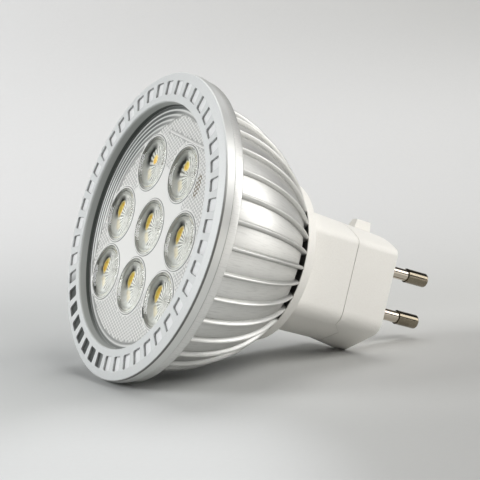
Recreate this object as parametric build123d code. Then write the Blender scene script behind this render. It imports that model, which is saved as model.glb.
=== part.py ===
from build123d import *
import math
import os

# Spotlight bulb: an LED reflector lamp with a slotted bezel, a ribbed bowl and a two-pin plastic base.
# Each piece is drawn along the lamp's axis: z runs from the front face to the pins, y up along the pin line.
# At the end the lamp is laid down as it rests, on the edge of its flange and the heel of its base.

# Fits
fit_gap = 0.15               # loose fit between nested round pieces
press_gap = 0.03             # pins in the base cap
seam_gap = 0.12              # joint line between the two halves of the base

# Bezel
rim_radius = 31.75           # outside of the lamp
bezel_depth = 2.5            # front face to the seam with the flange
bezel_skin = 0.45            # thickness of the slotted face
bezel_wall = 0.85            # outer wall
bezel_edge = 0.35            # rounding where the bevel meets the outer wall
bevel_width = 1.75           # sloping band round the outside of the face
bevel_drop = 0.55
bezel_width = 6.25           # rim to the front edge of the clear opening
opening_taper = 0.3          # the inner wall closes in by this much on its way to the lenses
inner_wall = 0.75            # thickness of the inner wall
lip_rise = 0.2               # the opening's edge stands this far in front of the slotted face
lip_edge = 0.2
slot_count = 44
slot_band = 1.45             # plain band between the opening and the slots
slot_length = 2.95
slot_width = 2.6
slot_corner = 0.4
slot_phase = 5.8             # degrees from the lamp's side to the first slot
backing_thickness = 0.6      # bright ring behind the slots

# Lens plate: eight lenses in rows of two, three and three
lens_recess = 2.4            # front face to the front of the plate
lens_rim_thickness = 1.8
lens_turn = 8.0              # degrees the rows lean against the pin line
lens_corner_angle = 43.0     # degrees from the middle row down to the outer lenses of the lower row
lens_edge_gap = 0.1          # outer lenses of the lower row to the bore round them
lens_side_gap = 3.8          # outer lenses of the middle row to the same bore
lens_row_gap = 0.15          # between the rims of lenses in neighbouring rows
lens_top_half = 7.4          # half the spacing of the upper pair
lens_rim_width = 0.6
lens_rim_rise = 0.5
lens_dish = 0.5              # depth of the hollow front of a lens
lens_depth = 6.5             # front of the plate to the small end of a lens
lens_foot_radius = 3.2
lens_pocket_radius = 2.6     # hollow over each LED
lens_pocket_depth = 2.3
lens_pocket_crown = 0.4

# LED board and what carries it
led_air = 0.3                # small end of a lens to the board
led_body_size = 3.5
led_body_height = 0.8
led_chip_size = 2.8
led_chip_height = 0.25
board_thickness = 1.2
pad_thickness = 0.3
plate_thickness = 2.5
ledge_width = 2.1            # ledge under the rim of the lens plate
board_screw_inset = 4.3      # bore round the board to the middle of a screw
board_screw_count = 3
board_screw_phase = -69.6
screw_radius = 1.0
screw_head_radius = 2.0
screw_head_height = 1.3
screw_length = 6.4
screw_cross = 0.5            # width of the cross recess
screw_cross_depth = 0.6

# Bowl
flange_step = 0.35           # the flange is this much smaller than the bezel
flange_thickness = 2.15
flange_edge = 0.3
flange_width = 3.0           # edge of the flange to the tops of the ribs
bowl_length = 24.98          # rear of the flange to the rear end of the ribs
bowl_end_radius = 17.16      # over the ribs, at the rear end
bowl_wall = 2.0
rib_count = 34
rib_height = 0.9
rib_width = 1.6
rib_round = 0.72
rib_phase = 3.0
vent_length = 1.75           # open gap between the ribs at the rear end
seat_width = 6.8             # ledge that the mounting plate rests on
seat_thickness = 3.0
hub_bore = 12.5
hub_wall = 1.4
hub_length = 3.0

# Base
collar_thickness = 1.8
collar_slope = 2.2           # length of the sloping back of the collar
base_wall = 1.8
spigot_length = 2.8          # the collar's neck in the hub
block_half_width = 13.5
housing_length = 12.22       # rear of the collar's rim to the joint line
cap_length = 10.35           # joint line to the rear face
shoulder_height = 8.0        # where the sides meet the arched top
shoulder_round = 1.8
crown_front = 12.6
crown_rear = 11.4
corner_drop = 9.4            # where the sides meet the sloping underside
corner_round = 3.5
keel_half_width = 2.4        # narrow flat along the bottom
keel_round = 0.8
keel_drop = 13.65
heel_drop = 14.57            # bottom of the rear end, on which the base rests
inside_round = 0.6           # smallest rounding inside the base
tongue_length = 3.6          # the joint line steps back by this much underneath
tongue_line = 10.0           # height below the axis where the step begins
tongue_tip_line = 11.4       # and where it ends
rear_wall = 2.0
tab_height = 13.65           # top of the locking tab, from the axis
tab_half_width = 1.6
tab_top_half_width = 0.9
tab_length = 3.6
tab_slope = 1.0
rail_width = 2.2
rail_length = 8.0

# Contact pins
pin_spacing = 9.5
pin_head_radius = 1.585
pin_head_length = 5.4
pin_head_round = 0.35
pin_neck_radius = 1.3
pin_reach = 18.35            # rear face of the base to the pin's tip
pin_tail_radius = 0.9
pin_tail_length = 2.0
pin_boss_radius = 3.0
pin_boss_length = 3.0

# Driver board, with its parts placed by their middles: across the board, then along it from its front edge
driver_top = -6.4            # height of the board's upper side
driver_thickness = 1.2
driver_half_width = 9.9
driver_setback = 3.0         # rear of the collar's rim to the board
driver_tail_gap = 1.2        # board to the bosses of the pins
core_width = 9.6
core_height = 9.5
core_depth = 4.0
core_bar = 1.3
core_spot = (5.0, 7.9)
coil_length = 7.4
input_can_radius = 3.15
input_can_height = 11.0
input_can_spot = (-6.5, 9.8)
output_can_radius = 2.5
output_can_height = 9.0
output_can_spot = (-7.0, 3.8)
can_groove = 1.0             # height of the groove round the foot of a can
choke_radius = 1.9
choke_height = 4.5
choke_spot = (2.6, 2.0)
film_size = (3.4, 5.0, 6.0)
film_spot = (-2.2, 3.6)
fuse_radius = 1.0
fuse_length = 3.4
fuse_spot = (-1.6, 8.7)
rectifier_size = (4.7, 1.6, 4.0)
rectifier_spot = (-3.05, 3.6)
control_size = (4.9, 1.5, 3.9)
control_spot = (0.45, 9.5)

# Leads
lead_radius = 0.55
lead_bend = 6.0
lead_gap = 0.2               # round a lead, in the holes of the LED board
lead_spot = (6.4, -6.0)      # first hole in the LED board
lead_pitch = 1.8
lead_jog = 0.6               # the leads step sideways between the two boards
lead_straight = 6.0          # straight run behind the mounting plate
lead_landing = 2.4           # length that lies on the driver board
pin_lead_radius = 0.45
pin_lead_bend = 0.7
pin_lead_turn = 1.5          # end of a pin's tail to where its lead turns down
pin_lead_side = 2.4          # the upper lead passes beside the lower pin by this much

# Places that follow from the sizes above: the lenses fill the bore, row against row
opening_radius = rim_radius - bezel_width
slot_inner_radius = opening_radius + slot_band
land_start = bezel_skin + backing_thickness
pocket_radius = opening_radius + inner_wall + fit_gap
land_radius = rim_radius - bezel_wall - fit_gap
chamber_radius = pocket_radius - ledge_width
corner_rise = math.sin(math.radians(lens_corner_angle))
corner_run = math.cos(math.radians(lens_corner_angle))
lens_radius = ((chamber_radius - lens_edge_gap) * corner_rise - lens_row_gap) / (2 + corner_rise)
lens_corner_circle = chamber_radius - lens_edge_gap - lens_radius
lens_row_pitch = lens_corner_circle * corner_rise
lens_bottom_half = lens_corner_circle * corner_run
lens_middle_half = chamber_radius - lens_side_gap - lens_radius
board_screw_circle = chamber_radius - board_screw_inset
seat_radius = chamber_radius - seat_width
ledge = lens_recess + lens_rim_thickness
board_front = lens_recess + lens_depth + led_air
pad_front = board_front + board_thickness
plate_front = pad_front + pad_thickness
seat = plate_front + plate_thickness
flange_radius = rim_radius - flange_step
bowl_radius = flange_radius - flange_width
flange_end = bezel_depth + flange_thickness
bowl_end = flange_end + bowl_length
vent_start = bowl_end - vent_length
hub_start = bowl_end - hub_length
collar_radius = bowl_end_radius
collar_back = bowl_end + collar_thickness
spigot_radius = hub_bore - fit_gap
spigot_bore = spigot_radius - base_wall
base_seam = collar_back + housing_length
block_end = base_seam + cap_length
tongue_end = base_seam + tongue_length
pin_tip = block_end + pin_reach
pin_head_start = pin_tip - pin_head_length
pin_inner_end = block_end - rear_wall - pin_boss_length
pin_heights = (pin_spacing / 2, -pin_spacing / 2)
lead_spots = [lead_spot, (lead_spot[0] + lead_pitch, lead_spot[1])]
driver_start = collar_back + driver_setback
driver_end = pin_inner_end - driver_tail_gap

# The bowl's section is an arc that leaves the flange parallel to the axis and ends at the collar.
bowl_fall = bowl_radius - bowl_end_radius
bowl_arc = ((bowl_end - flange_end) ** 2 + bowl_fall ** 2) / (2 * bowl_fall)


def bowl_point(depth, inset):
    reach = math.sqrt((bowl_arc - inset) ** 2 - (depth - flange_end) ** 2)
    return (bowl_radius - bowl_arc + reach, depth)


def bowl_curve(start, end, inset):
    middle = (start + end) / 2
    return ThreePointArc(bowl_point(start, inset), bowl_point(middle, inset), bowl_point(end, inset))


def turned(outline):
    return revolve(Plane.XZ * outline, Axis.Z)


def rounded_at(outline, spot, radius):
    corner = outline.vertices().sort_by_distance(spot)[0]
    return fillet(corner, radius)


def tube(outer, inner, start, end):
    return Pos(0, 0, start) * extrude(Circle(outer) - Circle(inner), end - start)


def rod(radius, start, end):
    return Pos(0, 0, start) * extrude(Circle(radius), end - start)


def block(x_range, y_range, z_range):
    spans = [high - low for low, high in (x_range, y_range, z_range)]
    middle = [(low + high) / 2 for low, high in (x_range, y_range, z_range)]
    return Pos(*middle) * Box(*spans)


def lens_spots():
    rows = [
        (lens_row_pitch, (-lens_top_half, lens_top_half)),
        (0, (-lens_middle_half, 0, lens_middle_half)),
        (-lens_row_pitch, (-lens_bottom_half, 0, lens_bottom_half)),
    ]
    return [Rot(0, 0, lens_turn) * Pos(across, height) for height, row in rows for across in row]


def screw_spots():
    return PolarLocations(board_screw_circle, board_screw_count, board_screw_phase)


def wire_holes(start, end):
    return [Pos(x, y) * rod(lead_radius + lead_gap, start, end) for x, y in lead_spots]


def screw_holes(radius, start, end):
    return screw_spots() * rod(radius, start, end)


# Front ring with its slots

def bezel_ring():
    outline = make_face(Polyline(
        (opening_radius - opening_taper, lens_recess),
        (opening_radius, -lip_rise),
        (slot_inner_radius, 0),
        (rim_radius - bevel_width, 0),
        (rim_radius, bevel_drop),
        (rim_radius, bezel_depth),
        (rim_radius - bezel_wall, bezel_depth),
        (rim_radius - bezel_wall, bezel_skin),
        (opening_radius + inner_wall, bezel_skin),
        (opening_radius + inner_wall, lens_recess),
        close=True,
    ))
    outline = rounded_at(outline, (opening_radius, -lip_rise), lip_edge)
    outline = rounded_at(outline, (rim_radius, bevel_drop), bezel_edge)
    window = extrude(RectangleRounded(slot_length, slot_width, slot_corner), bezel_skin, both=True)
    middle = slot_inner_radius + slot_length / 2
    return turned(outline) - PolarLocations(middle, slot_count, slot_phase) * window


def backing_ring():
    return tube(land_radius, pocket_radius, bezel_skin, land_start)


# Clear plate: each lens is a cone with a dished front inside a raised rim, and a pocket over its LED

def cap_arc(radius, base, crown):
    sag = crown - base
    sphere = (radius ** 2 + sag ** 2) / (2 * sag)
    half_angle = math.asin(radius / abs(sphere)) / 2
    middle = (abs(sphere) * math.sin(half_angle), crown - sphere + sphere * math.cos(half_angle))
    return ThreePointArc((0, crown), middle, (radius, base))


def hollow(radius, base, crown, mouth):
    outline = make_face([
        cap_arc(radius, base, crown),
        Polyline((radius, base), (radius, mouth), (0, mouth), (0, crown)),
    ])
    return turned(outline)


def lens_body():
    outline = make_face(Polyline(
        (0, lens_recess - lens_rim_rise),
        (lens_radius, lens_recess - lens_rim_rise),
        (lens_radius, ledge),
        (lens_foot_radius, lens_recess + lens_depth),
        (0, lens_recess + lens_depth),
        close=True,
    ))
    return turned(outline)


def lens_plate():
    foot = lens_recess + lens_depth
    pocket_end = foot - lens_pocket_depth
    dish = hollow(lens_radius - lens_rim_width, lens_recess, lens_recess + lens_dish, 0)
    pocket = hollow(lens_pocket_radius, pocket_end, pocket_end - lens_pocket_crown, foot)
    plate = rod(pocket_radius - fit_gap, lens_recess, ledge) + [spot * lens_body() for spot in lens_spots()]
    return plate - [spot * (dish + pocket) for spot in lens_spots()]


# LED board, its LEDs and what they are fixed to

def led_body():
    size = led_body_size
    return Pos(0, 0, board_front - led_body_height) * extrude(Rectangle(size, size), led_body_height)


def led_chip():
    chip_front = board_front - led_body_height - led_chip_height
    return Pos(0, 0, chip_front) * extrude(Rectangle(led_chip_size, led_chip_size), led_chip_height)


def carried_disc(start, end):
    disc = rod(chamber_radius - fit_gap, start, end)
    return disc - screw_holes(screw_radius + fit_gap, start, end) - wire_holes(start, end)


def board_screws():
    head_front = board_front - screw_head_height
    shank = rod(screw_radius, board_front, board_front + screw_length)
    screw = rod(screw_head_radius, head_front, board_front) + shank
    bar = Box(2 * screw_radius, screw_cross, 2 * screw_cross_depth)
    cross = Pos(0, 0, head_front) * (bar + Rot(0, 0, 90) * bar)
    return Compound([spot * (screw - cross) for spot in screw_spots()])


# Bowl with its flange, ribs, vents and hub

def heat_sink():
    panel = rib_height
    inside = rib_height + bowl_wall
    seat_end = seat + seat_thickness
    outline = make_face([
        Polyline(
            (pocket_radius, land_start),
            (land_radius, land_start),
            (land_radius, bezel_depth),
            (flange_radius, bezel_depth),
            (flange_radius, flange_end),
            bowl_point(flange_end, panel),
        ),
        bowl_curve(flange_end, vent_start, panel),
        Line(bowl_point(vent_start, panel), bowl_point(vent_start, inside)),
        bowl_curve(vent_start, seat_end, inside),
        Polyline(
            bowl_point(seat_end, inside),
            (seat_radius, seat_end),
            (seat_radius, seat),
            (chamber_radius, seat),
            (chamber_radius, ledge),
            (pocket_radius, ledge),
            (pocket_radius, land_start),
        ),
    ])
    outline = rounded_at(outline, (flange_radius, flange_end), flange_edge)
    hub = tube(hub_bore + hub_wall, hub_bore, hub_start, bowl_end)
    body = turned(outline) + hub + PolarLocations(0, rib_count, rib_phase) * rib()
    return body - screw_holes(screw_radius + fit_gap, seat, seat_end)


def rib():
    root = rib_height + bowl_wall / 2
    front = flange_end - flange_thickness / 2
    hub_middle = hub_bore + hub_wall / 2
    outline = make_face([
        Polyline(
            (bowl_point(flange_end, root)[0], flange_end),
            (bowl_point(flange_end, root)[0], front),
            (bowl_radius, front),
            (bowl_radius, flange_end),
        ),
        bowl_curve(flange_end, bowl_end, 0),
        Polyline(
            (bowl_end_radius, bowl_end),
            (hub_middle, bowl_end),
            (hub_middle, hub_start),
            bowl_point(hub_start, root),
        ),
        bowl_curve(hub_start, flange_end, root),
    ])
    bar = extrude(Plane.XZ * outline, rib_width / 2, both=True)
    crest = bar.edges().filter_by(GeomType.CIRCLE).sort_by(SortBy.RADIUS)[-2:]
    return fillet(crest, rib_round)


# Plastic base: one hollow block, split into a housing and a cap

def base_crown(depth):
    share = (depth - collar_back) / (block_end - collar_back)
    return crown_front + (crown_rear - crown_front) * share


def base_section(depth, drop, inset):
    half = block_half_width - inset
    crown = base_crown(depth)
    rise = crown - shoulder_height
    arch = (block_half_width ** 2 + rise ** 2) / (2 * rise)
    shoulder = crown - arch + math.sqrt((arch - inset) ** 2 - half ** 2)
    slope = (drop - corner_drop) / (block_half_width - keel_half_width)
    shift = inset * math.hypot(1, slope)
    corner = corner_drop - shift + slope * inset
    keel = drop - inset
    keel_half = block_half_width - (keel + shift - corner_drop) / slope
    outline = make_face([
        ThreePointArc((-half, shoulder), (0, crown - inset), (half, shoulder)),
        Polyline(
            (half, shoulder),
            (half, -corner),
            (keel_half, -keel),
            (-keel_half, -keel),
            (-half, -corner),
            (-half, shoulder),
        ),
    ])
    for side in (-1, 1):
        outline = rounded_at(outline, (side * half, shoulder), max(shoulder_round - inset, inside_round))
        outline = rounded_at(outline, (side * half, -corner), max(corner_round - inset, inside_round))
        outline = rounded_at(outline, (side * keel_half, -keel), max(keel_round - inset, inside_round))
    return Pos(0, 0, depth) * outline


def base_block(start, end, inset):
    heel = keel_drop + (heel_drop - keel_drop) * (end - tongue_end) / (block_end - tongue_end)
    middle = base_section(tongue_end, keel_drop, inset)
    front = loft([base_section(start, keel_drop, inset), middle], ruled=True)
    rear = loft([middle, base_section(end, heel, inset)], ruled=True)
    return front + rear


def housing_zone(gap):
    reach = 2 * rim_radius
    outline = make_face(Polyline(
        (reach, 0),
        (reach, base_seam),
        (-tongue_line, base_seam),
        (-tongue_tip_line, tongue_end),
        (-reach, tongue_end),
        (-reach, 0),
        close=True,
    ))
    return Pos(0, 0, gap) * extrude(Plane.YZ * outline, reach, both=True)


def base_inside(inset):
    return base_block(collar_back, block_end - rear_wall, inset)


def base_shell():
    return base_block(collar_back, block_end, 0) - base_inside(base_wall)


def board_rails():
    top = driver_top - driver_thickness
    outer = driver_half_width + base_wall / 2
    rails = []
    for side in (-1, 1):
        edges = sorted((side * (outer - rail_width), side * outer))
        rails.append(block(edges, (top - rail_width, top), (driver_start, driver_start + rail_length)))
    return [rail & base_inside(base_wall / 2) for rail in rails]


def base_housing():
    collar = make_face(Polyline(
        (spigot_bore, bowl_end - spigot_length),
        (spigot_radius, bowl_end - spigot_length),
        (spigot_radius, bowl_end),
        (collar_radius, bowl_end),
        (collar_radius, collar_back),
        (block_half_width, collar_back + collar_slope),
        (spigot_bore, collar_back + collar_slope),
        close=True,
    ))
    shell = base_shell() & housing_zone(0)
    return turned(collar) - base_inside(base_wall) + shell + board_rails()


def base_cap():
    shell = base_shell() - housing_zone(seam_gap)
    bosses = [Pos(0, y) * rod(pin_boss_radius, pin_inner_end, block_end - rear_wall) for y in pin_heights]
    holes = [Pos(0, y) * rod(pin_neck_radius + press_gap, pin_inner_end, block_end) for y in pin_heights]
    return shell + bosses + locking_tab() - holes


def locking_tab():
    root = base_crown(block_end) - base_wall / 2
    profile = make_face(Polyline(
        (-tab_half_width, root),
        (-tab_top_half_width, tab_height),
        (tab_top_half_width, tab_height),
        (tab_half_width, root),
        close=True,
    ))
    tab = Pos(0, 0, block_end - tab_length - tab_slope) * extrude(profile, tab_length + tab_slope)
    lean = math.degrees(math.atan2(tab_slope, tab_height - root))
    cutter = Box(4 * tab_half_width, 4 * tab_height, 4 * tab_slope)
    edge = Pos(0, root, block_end - tab_length - tab_slope) * Rot(lean, 0, 0) * Pos(0, 0, -2 * tab_slope)
    return tab - edge * cutter


# Contact pins

def contact_pin(height):
    outline = make_face(Polyline(
        (0, pin_inner_end - pin_tail_length),
        (pin_tail_radius, pin_inner_end - pin_tail_length),
        (pin_tail_radius, pin_inner_end),
        (pin_neck_radius, pin_inner_end),
        (pin_neck_radius, pin_head_start),
        (pin_head_radius, pin_head_start),
        (pin_head_radius, pin_tip),
        (0, pin_tip),
        close=True,
    ))
    outline = rounded_at(outline, (pin_head_radius, pin_tip), pin_head_round)
    return Pos(0, height) * turned(outline)


# Driver board, its parts and its leads

def driver_board():
    half = driver_half_width
    return block((-half, half), (driver_top - driver_thickness, driver_top), (driver_start, driver_end))


def standing_can(radius, height, spot):
    outline = make_face(Polyline(
        (0, 0),
        (radius, 0),
        (radius, can_groove),
        (radius - can_groove / 3, can_groove * 4 / 3),
        (radius, can_groove * 5 / 3),
        (radius, height),
        (0, height),
        close=True,
    ))
    across, along = spot
    return Pos(across, driver_top, driver_start + along) * revolve(outline, Axis.Y)


def chip(size, spot, height):
    across, along = spot
    return Pos(across, height, driver_start + along) * Box(*size)


def transformer():
    across, along = core_spot
    middle = Pos(across, driver_top + core_height / 2, driver_start + along)
    window_width = core_width - 2 * core_bar
    window_height = core_height - 2 * core_bar
    frame = Rectangle(core_width, core_height) - Rectangle(window_width, window_height)
    core = extrude(frame, core_depth / 2, both=True)
    winding = RectangleRounded(window_width - fit_gap, window_height - fit_gap, core_bar)
    coil = extrude(winding, coil_length / 2, both=True)
    return middle * core, middle * coil


def fuse_resistor():
    across, along = fuse_spot
    middle = Pos(across, driver_top + fuse_radius, driver_start + along)
    return middle * extrude(Circle(fuse_radius), fuse_length / 2, both=True)


def driver_parts():
    core, coil = transformer()
    under = driver_top - driver_thickness
    return {
        "transformer_core": core,
        "transformer_coil": coil,
        "input_capacitor": standing_can(input_can_radius, input_can_height, input_can_spot),
        "output_capacitor": standing_can(output_can_radius, output_can_height, output_can_spot),
        "choke": standing_can(choke_radius, choke_height, choke_spot),
        "film_capacitor": chip(film_size, film_spot, driver_top + film_size[1] / 2),
        "rectifier": chip(rectifier_size, rectifier_spot, under - rectifier_size[1] / 2),
        "control_chip": chip(control_size, control_spot, under - control_size[1] / 2),
        "fuse_resistor": fuse_resistor(),
    }


def swept_lead(points, radius, bends):
    path = FilletPolyline(*points, radius=bends)
    return sweep(Plane(path @ 0, z_dir=path % 0) * Circle(radius), path)


def led_lead(spot):
    x, y = spot
    rest = driver_top + lead_radius
    route = [
        (x, y, board_front),
        (x, y, seat + lead_straight),
        (x - lead_jog, rest, bowl_end),
        (x - lead_jog, rest, driver_start + lead_landing),
    ]
    return swept_lead(route, lead_radius, lead_bend)


def pin_leads():
    tail_end = pin_inner_end - pin_tail_length
    turn = tail_end - pin_lead_turn
    upper, lower = pin_heights
    low_route = [(0, lower, tail_end), (0, lower, turn), (0, driver_top, turn)]
    high_route = [
        (0, upper, tail_end),
        (0, upper, turn),
        (-pin_lead_side, 0, turn),
        (-pin_lead_side, driver_top, turn),
    ]
    return [swept_lead(route, pin_lead_radius, pin_lead_bend) for route in (high_route, low_route)]


nodes = {
    "bezel_ring": bezel_ring(),
    "backing_ring": backing_ring(),
    "lens_plate": lens_plate(),
    "led_board": carried_disc(board_front, pad_front),
    "thermal_pad": carried_disc(pad_front, plate_front),
    "mounting_plate": carried_disc(plate_front, seat),
    "board_screws": board_screws(),
    "heat_sink": heat_sink(),
    "base_housing": base_housing(),
    "base_cap": base_cap(),
    "contact_pin_upper": contact_pin(pin_heights[0]),
    "contact_pin_lower": contact_pin(pin_heights[1]),
    "driver_board": driver_board(),
}
nodes.update(driver_parts())
nodes["led_lead_positive"], nodes["led_lead_negative"] = [led_lead(spot) for spot in lead_spots]
nodes["pin_lead_upper"], nodes["pin_lead_lower"] = pin_leads()
for number, spot in enumerate(lens_spots(), start=1):
    nodes[f"led_body_{number}"] = spot * led_body()
    nodes[f"led_chip_{number}"] = spot * led_chip()

# Lay the lamp down: the flange's rear edge and the heel touch the floor, and the pins point along +X and down
rest_angle = math.atan2(flange_radius - heel_drop, block_end - flange_end)
pin_direction = (math.cos(rest_angle), 0, -math.sin(rest_angle))
lying = Plane(origin=(0, 0, 0), x_dir=(0, 1, 0), z_dir=pin_direction).location
laid = {name: lying * piece for name, piece in nodes.items()}
extent = Compound(list(laid.values())).bounding_box()
centred = Pos(-extent.center().X, -extent.center().Y, -extent.min.Z)

os.makedirs("parts", exist_ok=True)
for name, piece in laid.items():
    export_step(centred * piece, f"parts/{name}.step")
print("rest angle", round(math.degrees(rest_angle), 3), "shift", centred.position, "size", extent.size)
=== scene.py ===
import math
import bmesh
import bpy
from mathutils import Matrix, Vector
from mathutils.geometry import convex_hull_2d, delaunay_2d_cdt


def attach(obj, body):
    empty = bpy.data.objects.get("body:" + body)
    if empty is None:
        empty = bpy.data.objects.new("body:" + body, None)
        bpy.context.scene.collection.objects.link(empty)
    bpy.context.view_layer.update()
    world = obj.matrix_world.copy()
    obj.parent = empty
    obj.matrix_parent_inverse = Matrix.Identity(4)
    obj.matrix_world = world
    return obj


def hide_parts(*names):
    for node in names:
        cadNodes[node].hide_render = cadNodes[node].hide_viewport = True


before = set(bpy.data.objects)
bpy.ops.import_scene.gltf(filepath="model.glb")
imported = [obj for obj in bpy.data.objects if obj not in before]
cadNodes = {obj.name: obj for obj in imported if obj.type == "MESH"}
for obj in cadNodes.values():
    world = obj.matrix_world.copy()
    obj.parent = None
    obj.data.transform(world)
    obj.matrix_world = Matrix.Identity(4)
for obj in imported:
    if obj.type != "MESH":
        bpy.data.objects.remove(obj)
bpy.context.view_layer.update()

scene = bpy.context.scene
mm = 0.001
perMetre = 1000.0
print("frame loaded with", len(cadNodes), "nodes")

# the lamp's own space: x to the side, y up the pin line, z from the front face to the pins, in millimetres
lampPose = {
    "tilt": math.radians(18.831),
    "frontCentre": Vector((-0.0303532, 0.0, 0.0312202)),
}
sideDir = Vector((0, 1, 0))
upDir = Vector((math.sin(lampPose["tilt"]), 0, math.cos(lampPose["tilt"])))
axisDir = Vector((math.cos(lampPose["tilt"]), 0, -math.sin(lampPose["tilt"])))


def lampPoint(x, y, z):
    return lampPose["frontCentre"] + (sideDir * x + upDir * y + axisDir * z) * mm


# a socket is linked, any other value is set
def setInputs(tree, node, inputs):
    for key, value in inputs.items():
        if isinstance(value, bpy.types.NodeSocket):
            tree.links.new(value, node.inputs[key])
        else:
            node.inputs[key].default_value = value


def addNode(tree, kind, inputs=None, **settings):
    node = tree.nodes.new(kind)
    for key, value in settings.items():
        setattr(node, key, value)
    setInputs(tree, node, inputs or {})
    return node


def maths(tree, operation, first, second=0.0, clamp=False):
    inputs = {0: first, 1: second}
    return addNode(tree, "ShaderNodeMath", inputs, operation=operation, use_clamp=clamp).outputs[0]


def product(tree, first, *others):
    for other in others:
        first = maths(tree, "MULTIPLY", first, other)
    return first


def squareSum(tree, first, second):
    return maths(tree, "ADD", maths(tree, "POWER", first, 2.0), maths(tree, "POWER", second, 2.0))


# how far a value is from a middle, to either side
def offBy(tree, value, middle):
    return maths(tree, "ABSOLUTE", maths(tree, "SUBTRACT", value, middle))


def alongDir(tree, place, direction):
    node = addNode(tree, "ShaderNodeVectorMath", {0: place, 1: direction}, operation="DOT_PRODUCT")
    return node.outputs["Value"]


def mapRange(tree, value, low, high, toLow=0.0, toHigh=1.0, smooth=False):
    kind = "SMOOTHSTEP" if smooth else "LINEAR"
    inputs = {0: value, 1: low, 2: high, 3: toLow, 4: toHigh}
    return addNode(tree, "ShaderNodeMapRange", inputs, interpolation_type=kind).outputs[0]


def softMask(tree, value, span):
    return mapRange(tree, value, *span, smooth=True)


# masks that are full past a limit, with a short blur
def above(tree, value, limit, blur):
    return mapRange(tree, value, limit, limit + blur)


def below(tree, value, limit, blur):
    return mapRange(tree, value, limit, limit - blur)


# part of a turn to both sides of a middle direction in degrees; the span is a pair of cosines
def sector(tree, turn, middle, span):
    aside = maths(tree, "SUBTRACT", turn, math.radians(middle))
    return softMask(tree, maths(tree, "COSINE", aside), span)


def mixColour(tree, factor, first, second, blend="MIX"):
    inputs = {0: factor}
    for index, colour in ((6, first), (7, second)):
        inputs[index] = colour if isinstance(colour, bpy.types.NodeSocket) else (*colour, 1)
    return addNode(tree, "ShaderNodeMix", inputs, data_type="RGBA", blend_type=blend).outputs[2]


def markOf(tree, name):
    return addNode(tree, "ShaderNodeAttribute", attribute_name=name).outputs["Fac"]


def newGroup(name, inputs, outputs):
    tree = bpy.data.node_groups.new(name, "ShaderNodeTree")
    for socketName, start in inputs.items():
        socket = tree.interface.new_socket(name=socketName, in_out="INPUT", socket_type="NodeSocketFloat")
        socket.default_value = start
    for socketName in outputs:
        tree.interface.new_socket(name=socketName, in_out="OUTPUT", socket_type="NodeSocketFloat")
    return tree, tree.nodes.new("NodeGroupInput"), tree.nodes.new("NodeGroupOutput")


def useGroup(tree, group, **inputs):
    return addNode(tree, "ShaderNodeGroup", inputs, node_tree=group).outputs


# distance from the axis, turn round it, depth behind the front face and place across and up that face,
# in millimetres and degrees
def makeLampSpace():
    tree, _, result = newGroup("lampSpace", {}, ("radius", "angle", "depth", "across", "height"))
    place = addNode(tree, "ShaderNodeTexCoord").outputs["Object"]
    inputs = {0: place, 1: lampPose["frontCentre"]}
    offset = addNode(tree, "ShaderNodeVectorMath", inputs, operation="SUBTRACT").outputs[0]
    parts = {}
    for key, direction in (("across", sideDir), ("height", upDir), ("depth", axisDir)):
        parts[key] = alongDir(tree, offset, direction * perMetre)
    parts["radius"] = maths(tree, "SQRT", squareSum(tree, parts["across"], parts["height"]))
    parts["angle"] = maths(tree, "DEGREES", maths(tree, "ARCTAN2", parts["height"], parts["across"]))
    setInputs(tree, result, parts)
    return tree


# grains of different brightness in a paint or moulding with a matching height, and broader patches
fleckNoise = {
    "fine": {"Detail": 2.0, "Roughness": 0.7},
    "broad": {"Detail": 3.0, "Roughness": 0.55},
    "span": (0.3, 0.7),
}


def makeFleck():
    tree, source, result = newGroup("fleck", {"size": 0.3, "patch": 6.0}, ("grain", "patches", "height"))
    place = addNode(tree, "ShaderNodeTexCoord").outputs["Object"]
    noise = {}
    for key, width in (("fine", "size"), ("broad", "patch")):
        scale = maths(tree, "DIVIDE", perMetre, source.outputs[width])
        inputs = dict(fleckNoise[key], Vector=place, Scale=scale)
        noise[key] = addNode(tree, "ShaderNodeTexNoise", inputs).outputs[0]
    setInputs(tree, result, {
        "grain": mapRange(tree, noise["fine"], *fleckNoise["span"]),
        "patches": mapRange(tree, noise["broad"], *fleckNoise["span"]),
        "height": noise["fine"],
    })
    return tree


# shade that gathers where surfaces meet
creviceShade = {"samples": 6, "span": (0.95, 0.35)}


def makeCrevice():
    tree, source, result = newGroup("crevice", {"reach": 0.8}, ("mask",))
    inputs = {"Distance": product(tree, source.outputs["reach"], mm)}
    samples = creviceShade["samples"]
    shade = addNode(tree, "ShaderNodeAmbientOcclusion", inputs, samples=samples, only_local=False)
    setInputs(tree, result, {"mask": mapRange(tree, shade.outputs["AO"], *creviceShade["span"])})
    return tree


lampSpace = makeLampSpace()
fleck = makeFleck()
crevice = makeCrevice()
print("shared effects made")


def newMaterial(name, **sockets):
    material = bpy.data.materials.new(name)
    material.use_nodes = True
    shader = material.node_tree.nodes["Principled BSDF"]
    setInputs(material.node_tree, shader, sockets)
    return material, material.node_tree, shader


def bumpInto(tree, shader, height, rise):
    bump = addNode(tree, "ShaderNodeBump", {"Height": height, "Distance": rise * mm, "Strength": 1.0})
    setInputs(tree, shader, {"Normal": bump.outputs[0]})


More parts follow.
